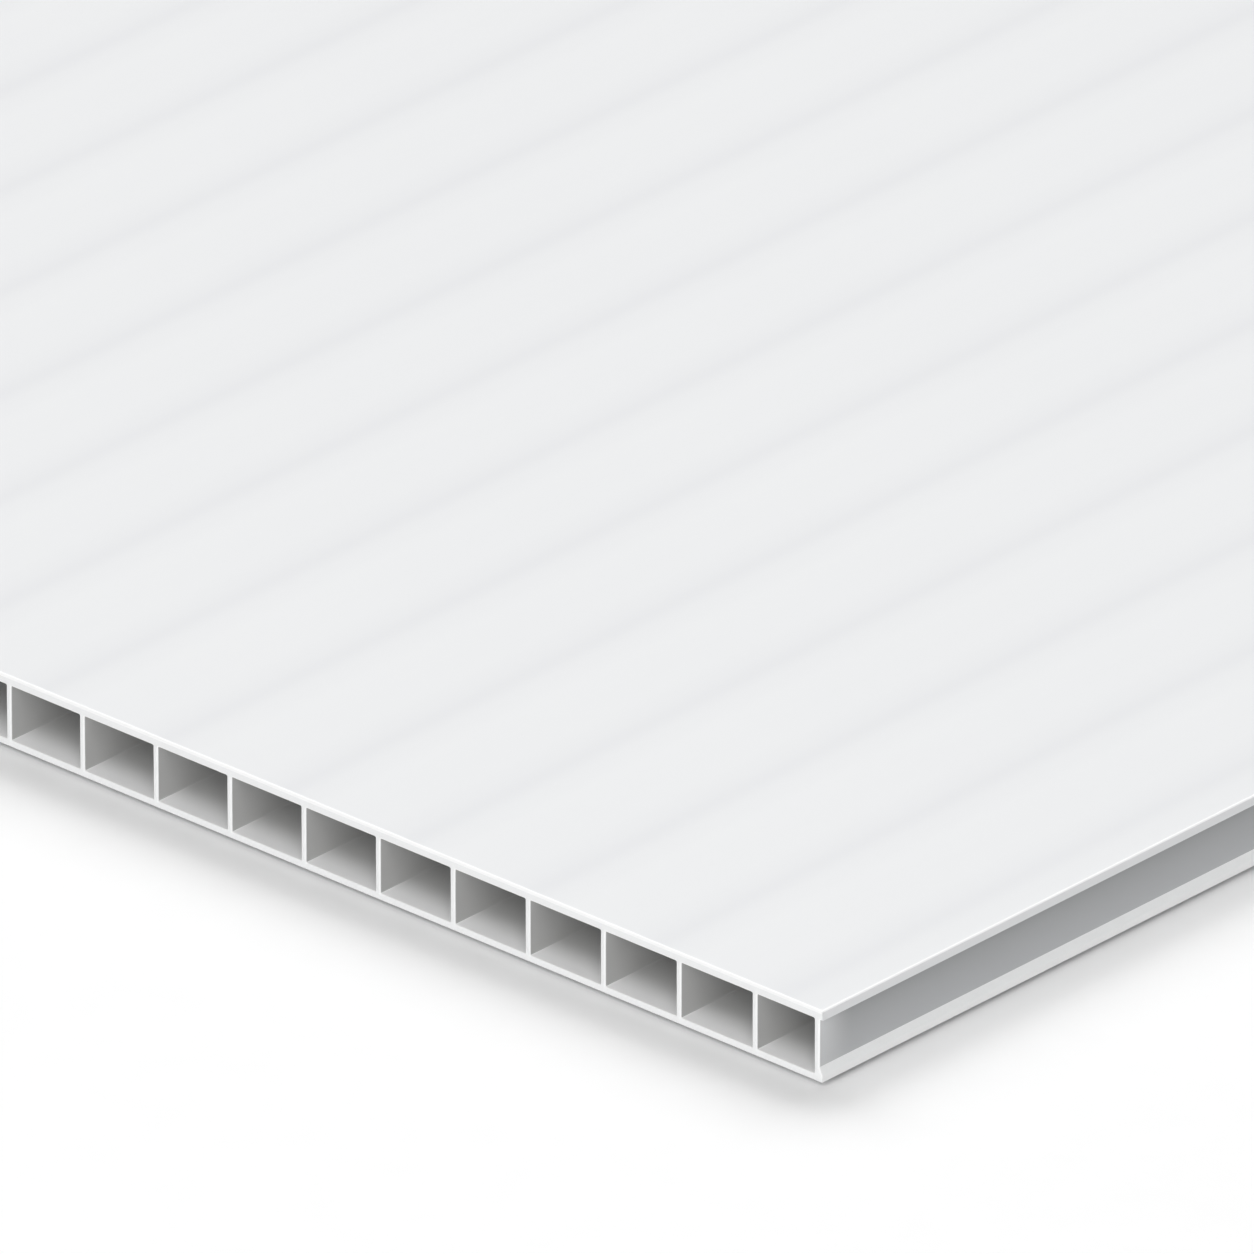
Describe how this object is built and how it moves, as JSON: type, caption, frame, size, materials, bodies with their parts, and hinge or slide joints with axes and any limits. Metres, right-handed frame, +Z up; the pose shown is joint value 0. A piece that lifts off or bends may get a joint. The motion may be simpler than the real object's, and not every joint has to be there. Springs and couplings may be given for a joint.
{
  "type": "corrugated plastic sheet",
  "caption": "Flat twin-wall fluted plastic sheet: thin skins joined by upright webs, with open flutes along its length and open channels at its long sides.",
  "frame": {"origin": "centre of the underside", "axes": "+X across the flutes, +Y along the flutes and the sheet's length, +Z up through the thickness"},
  "size_m": [0.21, 0.297, 0.004],
  "materials": {
    "white_polypropylene": "satin white extruded polypropylene"
  },
  "bodies": {
    "root": {"fluted_sheet": "white_polypropylene"}
  },
  "joints": []
}
